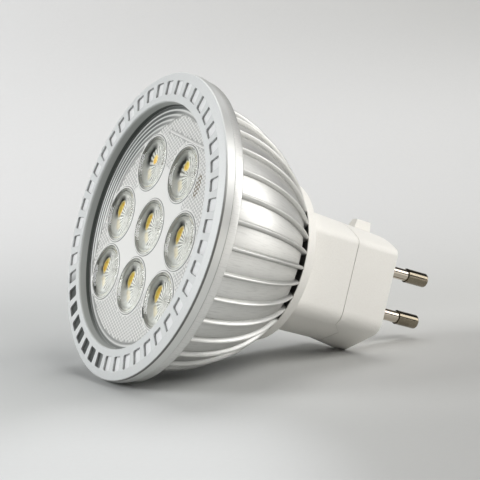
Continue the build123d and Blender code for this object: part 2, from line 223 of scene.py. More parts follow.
# one speckled finish with its own colours, grain and gloss, and painted shade in its corners
def speckled(name, look, **sockets):
    material, tree, shader = newMaterial(name, **sockets)
    grains = useGroup(tree, fleck, size=look["grainSize"], patch=look["patchSize"])
    colour = mixColour(tree, grains["grain"], look["dark"], look["light"])
    patches = product(tree, grains["patches"], look["patchAmount"])
    colour = mixColour(tree, patches, colour, look["patchColour"])
    # painted shade where surfaces meet, from the crevice group
    cornerShade = useGroup(tree, crevice, reach=look["cornerReach"])["mask"]
    cornerShade = product(tree, cornerShade, look["cornerAmount"])
    colour = mixColour(tree, cornerShade, colour, look["cornerShadeColour"])
    gloss = mapRange(tree, grains["grain"], 0.0, 1.0, *look["gloss"])
    setInputs(tree, shader, {"Base Color": colour, "Roughness": gloss})
    bumpInto(tree, shader, grains["height"], look["bump"])
    return material


# lays a second colour over a finish where the mask is set
def overlay(material, mask, colour):
    tree = material.node_tree
    target = tree.nodes["Principled BSDF"].inputs["Base Color"]
    under = target.links[0].from_socket
    tree.links.new(mixColour(tree, mask, under, colour), target)


# gives a finish other values where the mask is set
def overlayValues(material, mask, **values):
    tree = material.node_tree
    for name, value in values.items():
        target = tree.nodes["Principled BSDF"].inputs[name]
        under = target.links[0].from_socket if target.links else target.default_value
        tree.links.new(addNode(tree, "ShaderNodeMix", {0: mask, 2: under, 3: value}).outputs[0], target)


# silver-white paint: the opening's inner wall is grey, with painted shade at its foot at the upper left, and
# the outside is barer metal, with a painted dark reflection in a line along the lower right of its edge
bezelLook = {
    "dark": (0.73, 0.745, 0.745), "light": (0.78, 0.795, 0.79), "grainSize": 0.28, "patchSize": 9.0,
    "patchAmount": 0.25, "patchColour": (0.70, 0.715, 0.71), "cornerReach": 1.4, "cornerAmount": 0.8,
    "cornerShadeColour": (0.10, 0.105, 0.10), "gloss": (0.50, 0.58), "bump": 0.003, "metal": 0.1,
    "radiusBlur": 0.1,
    "wallColour": (0.42, 0.435, 0.42), "wallRadius": 25.7, "wallStart": -0.05, "wallBlur": 0.5,
    "footShadeColour": (0.07, 0.08, 0.072), "footStart": 1.5, "footBlur": 0.12,
    "footTurn": 35.0, "footSweep": (-0.6, 0.3),
    "outside": (0.80, 0.805, 0.785), "outsideRadius": 31.4, "outsideStart": 0.72, "outsideBlur": 0.15,
    "outsideAmount": 0.9, "outsideMetal": 0.85, "outsideGloss": 0.4,
    "edge": (0.17, 0.17, 0.16), "edgeDepth": 0.74, "edgeSpan": (0.28, 0.14),
    "edgeTurn": -146.0, "edgeSweep": (0.3, 0.85),
}


def makeBezelSilver():
    look = bezelLook
    material = speckled("bezelSilver", look, Metallic=look["metal"])
    tree = material.node_tree
    place = useGroup(tree, lampSpace)
    turn = maths(tree, "RADIANS", place["angle"])
    wall = below(tree, place["radius"], look["wallRadius"], look["radiusBlur"])
    deep = above(tree, place["depth"], look["wallStart"], look["wallBlur"])
    overlay(material, product(tree, wall, deep), look["wallColour"])
    # painted shade at the foot of the inner wall, on the upper left only
    foot = above(tree, place["depth"], look["footStart"], look["footBlur"])
    foot = product(tree, wall, foot, sector(tree, turn, look["footTurn"], look["footSweep"]))
    overlay(material, foot, look["footShadeColour"])
    outer = above(tree, place["radius"], look["outsideRadius"], look["radiusBlur"])
    outside = product(tree, outer, above(tree, place["depth"], look["outsideStart"], look["outsideBlur"]))
    overlay(material, product(tree, outside, look["outsideAmount"]), look["outside"])
    overlayValues(material, outside, Metallic=look["outsideMetal"], Roughness=look["outsideGloss"])
    # painted dark reflection in a line along the lower right of the outer edge
    edge = softMask(tree, offBy(tree, place["depth"], look["edgeDepth"]), look["edgeSpan"])
    edge = product(tree, edge, outer, sector(tree, turn, look["edgeTurn"], look["edgeSweep"]))
    overlay(material, edge, look["edge"])
    return material


# bright ring behind the bezel's windows, with painted shade at its lower left
brightLook = {
    "dark": (0.93, 0.935, 0.94), "light": (0.97, 0.975, 0.98), "grainSize": 0.4, "patchSize": 4.0,
    "patchAmount": 0.2, "patchColour": (0.94, 0.945, 0.95), "cornerReach": 0.3, "cornerAmount": 0.1,
    "cornerShadeColour": (0.5, 0.5, 0.5), "gloss": (0.40, 0.50), "bump": 0.004,
    "shadeColour": (0.07, 0.078, 0.074), "shadeMiddle": -57.0, "shadeSpan": (36.0, 24.0),
}


def makeBrightMetal():
    look = brightLook
    material = speckled("brightMetal", look)
    tree = material.node_tree
    # painted shade on the ring at its lower left
    away = offBy(tree, useGroup(tree, lampSpace)["angle"], look["shadeMiddle"])
    overlay(material, softMask(tree, away, look["shadeSpan"]), look["shadeColour"])
    return material


# silver paint with a metallic fleck and fine streaks along the bowl, with painted shade in the vents
bowlLook = {
    "dark": (0.82, 0.82, 0.80), "light": (0.87, 0.87, 0.85), "grainSize": 0.25, "patchSize": 7.0,
    "patchAmount": 0.2, "patchColour": (0.82, 0.82, 0.795), "cornerReach": 1.6, "cornerAmount": 0.6,
    "cornerShadeColour": (0.10, 0.10, 0.09), "gloss": (0.38, 0.44), "bump": 0.0015,
    "metal": 0.85, "tint": (0.45, 0.45, 0.44, 1),
    "streakColour": (0.58, 0.58, 0.56), "streakAmount": 0.4, "streakSpan": (0.5, 0.72), "streakDetail": 3.0,
    "streaksPerDegree": 2.0, "streaksPerMm": 0.3,
    "ventShadeColour": (0.03, 0.03, 0.028), "ventStart": 27.8, "ventStartBlur": 0.05,
    "ventRadius": 15.6, "ventRadiusBlur": 1.0,
}


def makeBowlSilver():
    look = bowlLook
    plain = {"Metallic": look["metal"], "Specular Tint": look["tint"]}
    material = speckled("bowlSilver", look, **plain)
    tree = material.node_tree
    place = useGroup(tree, lampSpace)
    streakPlace = addNode(tree, "ShaderNodeCombineXYZ", {
        0: product(tree, place["angle"], look["streaksPerDegree"]),
        1: product(tree, place["depth"], look["streaksPerMm"]),
    })
    inputs = {"Vector": streakPlace.outputs[0], "Scale": 1.0, "Detail": look["streakDetail"]}
    streaks = addNode(tree, "ShaderNodeTexNoise", inputs).outputs[0]
    streaks = mapRange(tree, streaks, *look["streakSpan"], 0.0, look["streakAmount"])
    overlay(material, streaks, look["streakColour"])
    # painted shade in the vents between the ribs' rear ends
    rear = above(tree, place["depth"], look["ventStart"], look["ventStartBlur"])
    inner = below(tree, place["radius"], look["ventRadius"], look["ventRadiusBlur"])
    overlay(material, product(tree, rear, inner), look["ventShadeColour"])
    return material


# warm white plastic, with painted shade on the front of the collar behind the vents
baseLook = {
    "dark": (0.85, 0.83, 0.785), "light": (0.90, 0.885, 0.84), "grainSize": 0.22, "patchSize": 8.0,
    "patchAmount": 0.2, "patchColour": (0.83, 0.80, 0.75), "cornerReach": 0.6, "cornerAmount": 0.5,
    "cornerShadeColour": (0.45, 0.42, 0.38), "gloss": (0.38, 0.50), "bump": 0.010,
    "gapShadeColour": (0.035, 0.035, 0.032), "gapDepth": 29.68, "gapDepthBlur": 0.03,
    "gapRadius": 16.95, "gapRadiusBlur": 0.1,
}


def makeBaseWhite():
    look = baseLook
    material = speckled("baseWhite", look)
    tree = material.node_tree
    place = useGroup(tree, lampSpace)
    # painted shade on the collar's front face, seen through the vents
    front = below(tree, place["depth"], look["gapDepth"], look["gapDepthBlur"])
    inner = below(tree, place["radius"], look["gapRadius"], look["gapRadiusBlur"])
    overlay(material, product(tree, front, inner), look["gapShadeColour"])
    return material


# plated pins, whose necks are paler than their heads
pinLook = {
    "dark": (0.22, 0.19, 0.14), "light": (0.32, 0.285, 0.22), "grainSize": 0.3, "patchSize": 2.0,
    "patchAmount": 0.3, "patchColour": (0.22, 0.185, 0.135), "cornerReach": 0.4, "cornerAmount": 0.5,
    "cornerShadeColour": (0.20, 0.17, 0.13), "gloss": (0.10, 0.20), "bump": 0.004, "metal": 1.0,
    "neckColour": (0.66, 0.60, 0.51), "headStart": 66.95, "headBlur": 0.2,
}


def makePinPlate():
    look = pinLook
    material = speckled("pinPlate", look, Metallic=look["metal"])
    tree = material.node_tree
    neck = below(tree, useGroup(tree, lampSpace)["depth"], look["headStart"], look["headBlur"])
    overlay(material, neck, look["neckColour"])
    return material


boardLook = {
    "dark": (0.60, 0.59, 0.56), "light": (0.68, 0.67, 0.64), "grainSize": 0.5, "patchSize": 5.0,
    "patchAmount": 0.2, "patchColour": (0.58, 0.57, 0.54), "cornerReach": 0.5, "cornerAmount": 0.2,
    "cornerShadeColour": (0.5, 0.5, 0.48), "gloss": (0.45, 0.6), "bump": 0.008,
}
phosphorLook = {
    "dark": (0.90, 0.42, 0.02), "light": (1.0, 0.62, 0.06), "grainSize": 0.25, "patchSize": 1.5,
    "patchAmount": 0.3, "patchColour": (0.86, 0.36, 0.02), "cornerReach": 0.3, "cornerAmount": 0.2,
    "cornerShadeColour": (0.5, 0.2, 0.02), "gloss": (0.35, 0.5), "bump": 0.01,
}
ceramicLook = {
    "dark": (0.78, 0.78, 0.76), "light": (0.88, 0.88, 0.86), "grainSize": 0.3, "patchSize": 3.0,
    "patchAmount": 0.2, "patchColour": (0.8, 0.8, 0.78), "cornerReach": 0.3, "cornerAmount": 0.2,
    "cornerShadeColour": (0.5, 0.5, 0.48), "gloss": (0.4, 0.5), "bump": 0.006,
}
bezelSilver = makeBezelSilver()
brightMetal = makeBrightMetal()
bowlSilver = makeBowlSilver()
baseWhite = makeBaseWhite()
pinPlate = makePinPlate()
boardWhite = speckled("boardWhite", boardLook)
phosphorYellow = speckled("phosphorYellow", phosphorLook)
ledCeramic = speckled("ledCeramic", ceramicLook)


# clear plate: eight dished lenses with ringed rims and fluted cones, beads and rings moulded round them
lensShape = {
    "front": 2.4, "back": 4.2, "radius": 26.25, "rimCount": 240, "margin": 0.16, "sharp": 40,
    "lensRadius": 6.1, "lensEdge": 0.02, "lensShare": 0.995, "turns": 144, "frontStep": 0.11,
    "clearRadius": 5.56, "dish": 0.35, "dishRadius": 4.6, "dishEdge": 0.1, "dishEvery": 6,
    "ridges": ((5.78, 0.2, 0.2), (5.34, 0.18, 0.12), (4.88, 0.2, 0.14)),
    "cone": (
        (5.9, 4.4), (5.5, 4.9), (5.1, 5.4), (4.7, 5.8), (4.2, 6.1), (3.3, 6.3), (2.1, 6.42), (1.0, 6.48),
    ),
    "coneFloor": 6.5, "flutes": 24, "fluteDepth": 0.1,
    "beadPitch": 0.84, "beadHeight": 0.2,
    "ringPitch": 1.02, "ringHeight": 0.18, "ringOuter": 25.9, "ringInner": 23.7, "ringReach": 4.6,
    "ringMiddle": 38.0, "ringSpread": 62.0, "ringRows": 6, "ringSpacing": 0.5, "ringGap": 0.1,
    "ringBorder": 360,
    "chord": ((0.6, 20.0), (-15.1, 16.6)), "chordHalf": 0.3, "chordHeight": 0.22, "chordSteps": 40,
    "chordGap": 0.1,
    # places of the painted reflections of the chip in each lens
    "chipImage": {"reach": 4.1, "turn": 22.0, "halfReach": 0.7, "halfTurn": 27.0},
    "topImages": (
        {"reach": 2.3, "turn": 30.0, "halfReach": 0.9, "halfTurn": 26.0},
        {"reach": 3.1, "turn": 42.0, "halfReach": 1.0, "halfTurn": 22.0},
    ),
}

# clear moulding that lets lamp light through to the cones; its hollows are tinted greyer than its crests as
# painted shade
clearLook = {
    "hollow": (0.72, 0.74, 0.73), "crest": (0.97, 0.985, 0.98), "riseSpan": (0.0, 0.8),
    "through": (0.92, 0.94, 0.93), "gloss": 0.03, "refraction": 1.49,
    "grainSize": 0.6, "patchSize": 5.0, "bump": 0.01,
}


def makeClearLens():
    look = clearLook
    plain = {"Roughness": look["gloss"], "IOR": look["refraction"], "Transmission Weight": 1.0}
    material, tree, shader = newMaterial("clearLens", **plain)
    # painted shade: hollows of the relief tinted greyer
    rise = mapRange(tree, markOf(tree, "relief"), *look["riseSpan"])
    setInputs(tree, shader, {"Base Color": mixColour(tree, rise, look["hollow"], look["crest"])})
    grains = useGroup(tree, fleck, size=look["grainSize"], patch=look["patchSize"])
    bumpInto(tree, shader, grains["patches"], look["bump"])
    through = addNode(tree, "ShaderNodeBsdfTransparent", {"Color": (*look["through"], 1)}).outputs[0]
    shadow = addNode(tree, "ShaderNodeLightPath").outputs["Is Shadow Ray"]
    mixed = addNode(tree, "ShaderNodeMixShader", {0: shadow, 1: shader.outputs[0], 2: through})
    tree.links.new(mixed.outputs[0], tree.nodes["Material Output"].inputs["Surface"])
    return material


# moulded front between the lenses: pale beads with painted shade in the hollows between them, rings round the
# outside with darker painted shade in their hollows, a screw and a brown patch that show through, and painted
# shade in dark lines round the rims of the lenses
frostLook = {
    "hollow": (0.53, 0.53, 0.515), "crest": (0.99, 0.985, 0.96), "riseSpan": (0.05, 0.6),
    "gloss": (0.45, 0.25),
    "ringHollowShade": (0.12, 0.13, 0.125), "ringCrest": (0.92, 0.93, 0.91), "ringSpan": (0.45, 0.95),
    "ringBlur": 0.05, "ringFade": 2.0, "ringFirst": 0.45,
    "line": (0.10, 0.105, 0.10), "lines": (6.0, lensShape["clearRadius"]), "lineHalf": 0.1,
    "screw": {
        "at": (-6.9, -16.9), "size": (0.7, 1.4), "turn": 52.0, "colour": (0.05, 0.055, 0.05), "onCrests": 1.0,
    },
    "patch": {
        "at": (-16.3, 9.0), "size": (1.0, 2.6), "turn": 100.0, "colour": (0.16, 0.115, 0.05), "onCrests": 0.0,
    },
    "spotSpan": (1.15, 0.75), "grainSize": 0.5, "patchSize": 3.0, "bump": 0.01,
}


def ringZone(tree, place):
    look = frostLook
    shape = lensShape
    swing = maths(tree, "SUBTRACT", place["angle"], shape["ringMiddle"])
    swing = maths(tree, "DIVIDE", swing, shape["ringSpread"])
    wide = maths(tree, "SUBTRACT", 1.0, maths(tree, "POWER", swing, 2.0), clamp=True)
    start = mapRange(tree, wide, 0.0, 1.0, shape["ringInner"], shape["ringInner"] - shape["ringReach"])
    within = maths(tree, "SUBTRACT", place["radius"], start)
    begun = mapRange(tree, within, -look["ringBlur"], look["ringBlur"])
    return product(tree, begun, mapRange(tree, within, 0.0, look["ringFade"], look["ringFirst"]))


# oval that leans by the spot's turn
def spotMask(tree, place, spot):
    lean = math.radians(spot["turn"])
    axes = ((math.sin(lean), -math.cos(lean)), (math.cos(lean), math.sin(lean)))
    fromSpot = [maths(tree, "SUBTRACT", place[key], at) for key, at in zip(("across", "height"), spot["at"])]
    shares = []
    for half, weights in zip(spot["size"], axes):
        parts = [product(tree, part, weight / half) for part, weight in zip(fromSpot, weights)]
        shares.append(maths(tree, "ADD", *parts))
    return softMask(tree, squareSum(tree, *shares), frostLook["spotSpan"])


def lensReach(tree):
    return maths(tree, "SQRT", squareSum(tree, markOf(tree, "lensX"), markOf(tree, "lensY")))


def makePlateFrost(name, rimLines):
    look = frostLook
    material, tree, shader = newMaterial(name)
    place = useGroup(tree, lampSpace)
    relief = markOf(tree, "relief")
    rise = mapRange(tree, relief, *look["riseSpan"])
    # painted shade in the hollows between the beads and rings
    beads = mixColour(tree, rise, look["hollow"], look["crest"])
    rings = mixColour(tree, mapRange(tree, relief, *look["ringSpan"]), look["ringHollowShade"], look["ringCrest"])
    colour = mixColour(tree, ringZone(tree, place), beads, rings)
    for spot in (look["screw"], look["patch"]):
        keep = mapRange(tree, rise, 0.0, 1.0, 1.0, spot["onCrests"])
        colour = mixColour(tree, product(tree, spotMask(tree, place, spot), keep), colour, spot["colour"])
    # painted shade in dark lines round the lens rims
    if rimLines:
        reach = lensReach(tree)
        for radius in look["lines"]:
            line = mapRange(tree, offBy(tree, reach, radius), look["lineHalf"], 0.0)
            colour = mixColour(tree, line, colour, look["line"])
    gloss = mapRange(tree, rise, 0.0, 1.0, *look["gloss"])
    setInputs(tree, shader, {"Base Color": colour, "Roughness": gloss})
    grains = useGroup(tree, fleck, size=look["grainSize"], patch=look["patchSize"])
    bumpInto(tree, shader, grains["patches"], look["bump"])
    return material


# what shows through a lens, all painted: a band of painted dark reflection under the far part of its rim,
# painted reflections of the chip below it, and a fluted floor with painted light and shade on its flutes and
# one painted glint
coneLook = {
    "floorDark": (0.24, 0.23, 0.20), "floorLight": (0.97, 0.965, 0.92),
    "rayGrain": 1.2, "raySpan": (-0.4, 1.2),
    "rim": (0.75, 0.76, 0.74), "deep": (0.012, 0.012, 0.01), "rimSpan": (4.8, 5.65),
    "near": (0.96, 0.96, 0.93), "edgeSpan": (4.15, 4.45), "darkTurn": 27.0, "darkSweep": (0.72, 0.96),
    "glint": (1.0, 0.92, 0.72), "glintStart": (3.0, 3.6), "glintEnd": (4.7, 4.3),
    "glintTurn": -34.0, "glintSweep": (0.45, 0.2),
    "amber": (1.0, 0.76, 0.13), "amberDark": (1.0, 0.50, 0.03),
    "amberGrain": (0.2, 0.6), "amberSpan": (1.0, 0.5),
    "halo": (1.0, 0.82, 0.42), "haloSpan": (1.5, 0.9),
    "wander": 0.4, "grainSize": 0.7, "patchSize": 2.5, "gloss": 0.4, "bump": 0.03,
}


def makeConePaint():
    look = coneLook
    material, tree, shader = newMaterial("conePaint", Roughness=look["gloss"])
    turn = maths(tree, "ARCTAN2", markOf(tree, "lensY"), markOf(tree, "lensX"))
    grains = useGroup(tree, fleck, size=look["grainSize"], patch=look["patchSize"])
    wander = product(tree, maths(tree, "SUBTRACT", grains["patches"], 0.5), look["wander"])
    reach = maths(tree, "ADD", lensReach(tree), wander)
    # painted light and shade in stripes along the flutes
    ray = maths(tree, "SINE", product(tree, turn, lensShape["flutes"]))
    ray = maths(tree, "ADD", ray, product(tree, grains["grain"], look["rayGrain"]))
    ray = mapRange(tree, ray, *look["raySpan"])
    colour = mixColour(tree, ray, look["floorDark"], look["floorLight"])
    # painted dark reflection in a band under the far part of the rim
    dark = mixColour(tree, softMask(tree, reach, look["rimSpan"]), look["deep"], look["rim"])
    edge = mixColour(tree, sector(tree, turn, look["darkTurn"], look["darkSweep"]), look["near"], dark)
    colour = mixColour(tree, softMask(tree, reach, look["edgeSpan"]), colour, edge)
    # painted glint on the floor at the lower left
    beside = offBy(tree, turn, math.radians(look["glintTurn"]))
    glint = softMask(tree, beside, look["glintSweep"])
    for key in ("glintStart", "glintEnd"):
        glint = product(tree, glint, mapRange(tree, reach, *look[key]))
    colour = mixColour(tree, glint, colour, look["glint"])
    # painted reflection of the chip, with a warm edge round it
    away = squareSum(tree, markOf(tree, "chipReach"), markOf(tree, "chipTurn"))
    away = maths(tree, "ADD", away, wander)
    colour = mixColour(tree, softMask(tree, away, look["haloSpan"]), colour, look["halo"])
    amber = mapRange(tree, grains["grain"], *look["amberGrain"])
    amber = mixColour(tree, amber, look["amberDark"], look["amber"])
    colour = mixColour(tree, softMask(tree, away, look["amberSpan"]), colour, amber)
    setInputs(tree, shader, {"Base Color": colour})
    bumpInto(tree, shader, ray, look["bump"])
    return material


webLook = dict(
    boardLook, dark=(0.75, 0.745, 0.72), light=(0.81, 0.805, 0.78), patchColour=(0.74, 0.735, 0.71),
    gloss=(0.5, 0.6),
)
plateFinishes = {
    "clear": makeClearLens(),
    "web": speckled("webFrost", webLook),
    "cone": makeConePaint(),
    "front": makePlateFrost("plateFrost", False),
    "rim": makePlateFrost("rimFrost", True),
}
plateSlot = {name: index for index, name in enumerate(plateFinishes)}

nodeMaterials = {
    "bezel_ring": bezelSilver, "backing_ring": brightMetal, "lens_plate": plateFinishes["clear"],
    "led_board": boardWhite, "heat_sink": bowlSilver, "base_housing": baseWhite, "base_cap": baseWhite,
    "contact_pin_upper": pinPlate, "contact_pin_lower": pinPlate,
}
lensNumbers = range(1, 9)
for number in lensNumbers:
    nodeMaterials[f"led_body_{number}"] = ledCeramic
    nodeMaterials[f"led_chip_{number}"] = phosphorYellow

# finishes inside the lamp: dark and light colour, how metallic it is, and the nodes that have it
hiddenLooks = {
    "plateAluminium": ((0.60, 0.61, 0.62), (0.72, 0.73, 0.74), 0.9, ("mounting_plate",)),
    "padSilicone": ((0.42, 0.47, 0.52), (0.50, 0.56, 0.60), 0.0, ("thermal_pad",)),
    "screwSteel": ((0.42, 0.42, 0.42), (0.60, 0.60, 0.60), 1.0, ("board_screws",)),
    "driverLaminate": ((0.05, 0.20, 0.09), (0.08, 0.28, 0.12), 0.0, ("driver_board",)),
    "ferriteDark": ((0.06, 0.06, 0.065), (0.10, 0.10, 0.11), 0.0, ("transformer_core", "choke")),
    "coilTape": ((0.70, 0.52, 0.10), (0.80, 0.62, 0.16), 0.0, ("transformer_coil",)),
    "canSleeve": ((0.05, 0.06, 0.12), (0.08, 0.09, 0.17), 0.0, ("input_capacitor", "output_capacitor")),
    "filmCase": ((0.45, 0.10, 0.06), (0.55, 0.14, 0.09), 0.0, ("film_capacitor",)),
    "chipCase": ((0.03, 0.03, 0.03), (0.05, 0.05, 0.05), 0.0, ("rectifier", "control_chip")),
    "resistorBody": ((0.26, 0.42, 0.44), (0.34, 0.50, 0.52), 0.0, ("fuse_resistor",)),
    "leadWhite": (
        (0.74, 0.74, 0.71), (0.82, 0.82, 0.79), 0.0,
        ("led_lead_positive", "led_lead_negative", "pin_lead_upper", "pin_lead_lower"),
    ),
}
# the hidden parts' painted corner shade is a share of their dark colour
hiddenCorner = 0.5    # how bright the corners are next to the dark colour
for finish, (dark, light, metal, nodes) in hiddenLooks.items():
    cornerShade = tuple(part * hiddenCorner for part in dark)
    hiddenLook = dict(boardLook, dark=dark, light=light, patchColour=dark, cornerShadeColour=cornerShade)
    hiddenMaterial = speckled(finish, hiddenLook, Metallic=metal)
    for node in nodes:
        nodeMaterials[node] = hiddenMaterial
print("materials made")

for name, material in nodeMaterials.items():
    cadNodes[name].data.materials.clear()
    cadNodes[name].data.materials.append(material)
print("finishes set on the solids")

# limits in millimetres under which points become one
weldDistance = 0.0005
tieDistance = 0.00001
insideLoops = 1    # kind of triangulation that keeps to the inside of its loops


def addPiece(name, build, materials, sharp):
    mesh = bpy.data.meshes.new(name)
    bmesh.ops.remove_doubles(build, verts=build.verts, dist=weldDistance)
    bmesh.ops.recalc_face_normals(build, faces=build.faces)
    for vert in build.verts:
        vert.co = lampPoint(*vert.co)
    build.to_mesh(mesh)
    build.free()
    for material in materials:
        mesh.materials.append(material)
    for polygon in mesh.polygons:
        polygon.use_smooth = True
    mesh.set_sharp_from_angle(angle=math.radians(sharp))
    piece = bpy.data.objects.new(name, mesh)
    scene.collection.objects.link(piece)
    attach(piece, "root")
    return piece


# rows of points, joined by faces from row to row; each row closes on itself
def skin(build, rows, closed=False, slot=0):
    rings = [[build.verts.new(point) for point in row] for row in rows]
    pairs = list(zip(rings, rings[1:]))
    if closed:
        pairs.append((rings[-1], rings[0]))
    for first, second in pairs:
        for step in range(len(first)):
            after = (step + 1) % len(first)
            build.faces.new((first[step], first[after], second[after], second[step])).material_index = slot


# closes a row of points with a fan round its middle
def cap(build, middle, row, slot):
    hub = build.verts.new(middle)
    ring = [build.verts.new(point) for point in row]
    for step in range(len(ring)):
        build.faces.new((hub, ring[step], ring[(step + 1) % len(ring)])).material_index = slot


def circlePoints(centre, radius, count):
    turns = [2 * math.pi * step / count for step in range(count)]
    return [(centre[0] + radius * math.cos(turn), centre[1] + radius * math.sin(turn)) for turn in turns]


def levelRow(centre, radius, count, depth):
    return [(x, y, depth) for x, y in circlePoints(centre, radius, count)]


# rises from 0 to 1 and falls back once in each turn
def wave(turns):
    return 0.5 - 0.5 * math.cos(2 * math.pi * turns)


# middle of a node across and up the front face
def nodeCentre(name):
    offsets = [(vert.co - lampPose["frontCentre"]) * perMetre for vert in cadNodes[name].data.vertices]
    middle = []
    for direction in (sideDir, upDir):
        spread = [offset.dot(direction) for offset in offsets]
        middle.append((min(spread) + max(spread)) / 2)
    return middle


lensSpots = [nodeCentre(f"led_chip_{number}") for number in lensNumbers]
webCorners = [lensSpots[index] for index in convex_hull_2d(lensSpots)]


# the web is the smooth stretch between the middles of the outer lenses
def insideWeb(x, y):
    for first, second in zip(webCorners, webCorners[1:] + webCorners[:1]):
        if (second[0] - first[0]) * (y - first[1]) - (second[1] - first[1]) * (x - first[0]) < 0:
            return False
    return True


def lensFrontDepth(radius):
    share = min(radius / lensShape["dishRadius"], 1)
    depth = lensShape["front"] + lensShape["dish"] * (1 - share ** 2)
    for middle, half, height in lensShape["ridges"]:
        depth -= height * max(0.0, 1 - ((radius - middle) / half) ** 2)
    return depth


# radius where the rings begin, which reaches furthest in at the upper left
def ringStart(x, y):
    turn = abs(math.degrees(math.atan2(y, x)) - lensShape["ringMiddle"]) / lensShape["ringSpread"]
    return lensShape["ringInner"] - lensShape["ringReach"] * max(0.0, 1 - turn ** 2)


def freeSpot(x, y):
    if math.hypot(x, y) > lensShape["radius"] - lensShape["margin"]:
        return False
    clear = lensShape["lensRadius"] + lensShape["margin"]
    return all(math.hypot(x - spot[0], y - spot[1]) > clear for spot in lensSpots)


def chordDistance(x, y):
    first, second = [Vector(end) for end in lensShape["chord"]]
    share = (Vector((x, y)) - first).dot(second - first) / (second - first).length_squared
    return (first.lerp(second, max(0.0, min(1.0, share))) - Vector((x, y))).length


# one raised line near the top of the plate
def chordRelief():
    shape = lensShape
    first, second = [Vector(end) for end in shape["chord"]]
    across = (second - first).orthogonal().normalized() * shape["chordHalf"]
    points = []
    for step in range(shape["chordSteps"] + 1):
        x, y = first.lerp(second, step / shape["chordSteps"])
        for side, height in ((-1, 0.0), (0, shape["chordHeight"]), (1, 0.0)):
            points.append((x + across.x * side, y + across.y * side, shape["front"] - height))
    return points


# concentric rings near the rim, with a level border along their inner side
def ringRelief():
    shape = lensShape
    points = []
    for step in range(shape["ringBorder"]):
        turn = math.radians(360 * step / shape["ringBorder"])
        radius = ringStart(math.cos(turn), math.sin(turn))
        x = radius * math.cos(turn)
        y = radius * math.sin(turn)
        if freeSpot(x, y):
            points.append((x, y, shape["front"]))
    radius = shape["ringOuter"]
    while radius > shape["ringInner"] - shape["ringReach"]:
        lift = wave((shape["ringOuter"] - radius) / shape["ringPitch"])
        depth = shape["front"] - shape["ringHeight"] * lift
        for x, y in circlePoints((0, 0), radius, int(2 * math.pi * radius / shape["ringSpacing"])):
            if radius >= ringStart(x, y) + shape["ringGap"] and freeSpot(x, y):
                points.append((x, y, depth))
        radius -= shape["ringPitch"] / shape["ringRows"]
    return points


# beads between the rings and the web, on a grid of triangles where every third point is a crown
def beadRelief():
    shape = lensShape
    points = []
    side = shape["beadPitch"] / math.sqrt(3)
    rows = int(shape["radius"] / (side * math.sqrt(3) / 2)) + 1
    for row in range(-rows, rows + 1):
        for column in range(-2 * rows, 2 * rows + 1):
            x = side * (column + row / 2)
            y = side * row * math.sqrt(3) / 2
            if math.hypot(x, y) > ringStart(x, y) - shape["margin"] or insideWeb(x, y):
                continue
            if freeSpot(x, y) and chordDistance(x, y) > shape["chordHalf"] + shape["chordGap"]:
                crown = shape["beadHeight"] if (column - row) % 3 == 0 else 0.0
                points.append((x, y, shape["front"] - crown))
    return points


# flat stretch between the lens circles and the plate's rim, with any relief points worked into it
def plateFiller(build, depth, relief, slot):
    shape = lensShape
    spots = []
    edges = []
    loops = [levelRow((0, 0), shape["radius"], shape["rimCount"], depth)]
    loops += [levelRow(spot, shape["lensRadius"], shape["turns"], depth) for spot in lensSpots]
    for loop in loops:
        first = len(spots)
        spots += loop
        edges += [(first + step, first + (step + 1) % len(loop)) for step in range(len(loop))]
    spots += relief
    spots += [(*spot, depth) for spot in lensSpots]
    flat = [Vector(spot[:2]) for spot in spots]
    filled = delaunay_2d_cdt(flat, edges, [], insideLoops, tieDistance, True)
    outPoints, _, triangles, origins, _, _ = filled
    verts = []
    for point, origin in zip(outPoints, origins):
        verts.append(build.verts.new((point.x, point.y, spots[origin[0]][2])))
    lensHole = shape["lensRadius"] * shape["lensShare"]
    for triangle in triangles:
        x = sum(outPoints[index].x for index in triangle) / 3
        y = sum(outPoints[index].y for index in triangle) / 3
        if any(math.hypot(x - spot[0], y - spot[1]) < lensHole for spot in lensSpots):
            continue
        build.faces.new([verts[index] for index in triangle]).material_index = slot


# dished and ridged front of one lens
def lensFront(build, spot):
    shape = lensShape
    rows = []
    clearRows = 0
    steps = int(shape["lensRadius"] / shape["frontStep"])
    for step in range(1, steps + 1):
        radius = shape["lensRadius"] * step / steps
        if radius > shape["dishRadius"] or step % shape["dishEvery"] == 1:
            depth = shape["front"] if step == steps else lensFrontDepth(radius)
            rows.append(levelRow(spot, radius, shape["turns"], depth))
            if radius < shape["clearRadius"]:
                clearRows = len(rows)
    cap(build, (*spot, lensFrontDepth(0)), rows[0], plateSlot["clear"])
    skin(build, rows[:clearRows], slot=plateSlot["clear"])
    skin(build, rows[clearRows - 1:], slot=plateSlot["rim"])


def lensCone(build, spot):
    shape = lensShape
    rows = [levelRow(spot, shape["lensRadius"], shape["turns"], shape["back"])]
    for radius, depth in shape["cone"]:
        row = []
        for index, (x, y) in enumerate(circlePoints(spot, radius, shape["turns"])):
            row.append((x, y, depth - shape["fluteDepth"] * wave(index * shape["flutes"] / shape["turns"])))
        rows.append(row)
    skin(build, rows, slot=plateSlot["cone"])
    cap(build, (*spot, shape["coneFloor"]), rows[-1], plateSlot["cone"])


